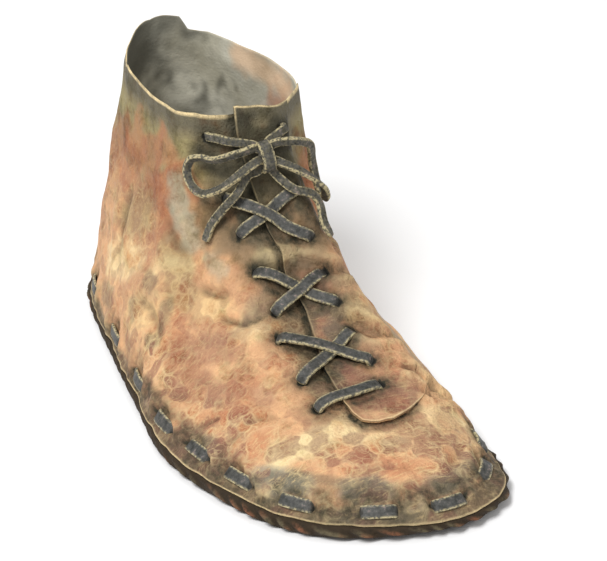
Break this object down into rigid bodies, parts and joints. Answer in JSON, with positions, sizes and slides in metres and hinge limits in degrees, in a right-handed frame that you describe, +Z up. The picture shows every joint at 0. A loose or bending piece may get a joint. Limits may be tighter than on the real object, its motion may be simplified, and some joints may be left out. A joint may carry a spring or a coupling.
{
  "type": "leather shoe",
  "caption": "Right hide ankle shoe with a lapped front, crossed thong lacing, a bow and thong stitches round the sole's margin.",
  "frame": {"origin": "centre of the shoe's bounding box on the floor, cords left out", "axes": "+Z up, toes to -Y, the big-toe (medial) side to +X"},
  "size_m": [0.1219, 0.2842, 0.1245],
  "materials": {
    "hide": "mottled orange-tan hide, satin",
    "sole_hide": "thick rough sole hide, matt",
    "sock_hide": "grey-olive sock hide, matt",
    "thong": "slate-grey flat hide thong, satin"
  },
  "bodies": {
    "root": {"upper": "hide", "outsole": "sole_hide", "insole": "sock_hide", "lace_cross_top": "thong", "lace_cross_middle": "thong", "lace_cross_low": "thong", "lace_bar": "thong", "bow_tie_lateral": "thong", "bow_tie_medial": "thong", "bow_loop_lateral": "thong", "bow_tail_lateral": "thong", "bow_loop_medial": "thong", "bow_tail_medial": "thong", "bow_knot": "thong", "stitch_01": "thong", "stitch_02": "thong", "stitch_03": "thong", "stitch_04": "thong", "stitch_05": "thong", "stitch_06": "thong", "stitch_07": "thong", "stitch_08": "thong", "stitch_09": "thong", "stitch_10": "thong", "stitch_11": "thong", "stitch_12": "thong", "stitch_13": "thong", "stitch_14": "thong", "stitch_15": "thong", "stitch_16": "thong", "stitch_17": "thong", "stitch_18": "thong", "stitch_19": "thong", "stitch_20": "thong", "stitch_21": "thong", "stitch_22": "thong"}
  },
  "joints": []
}
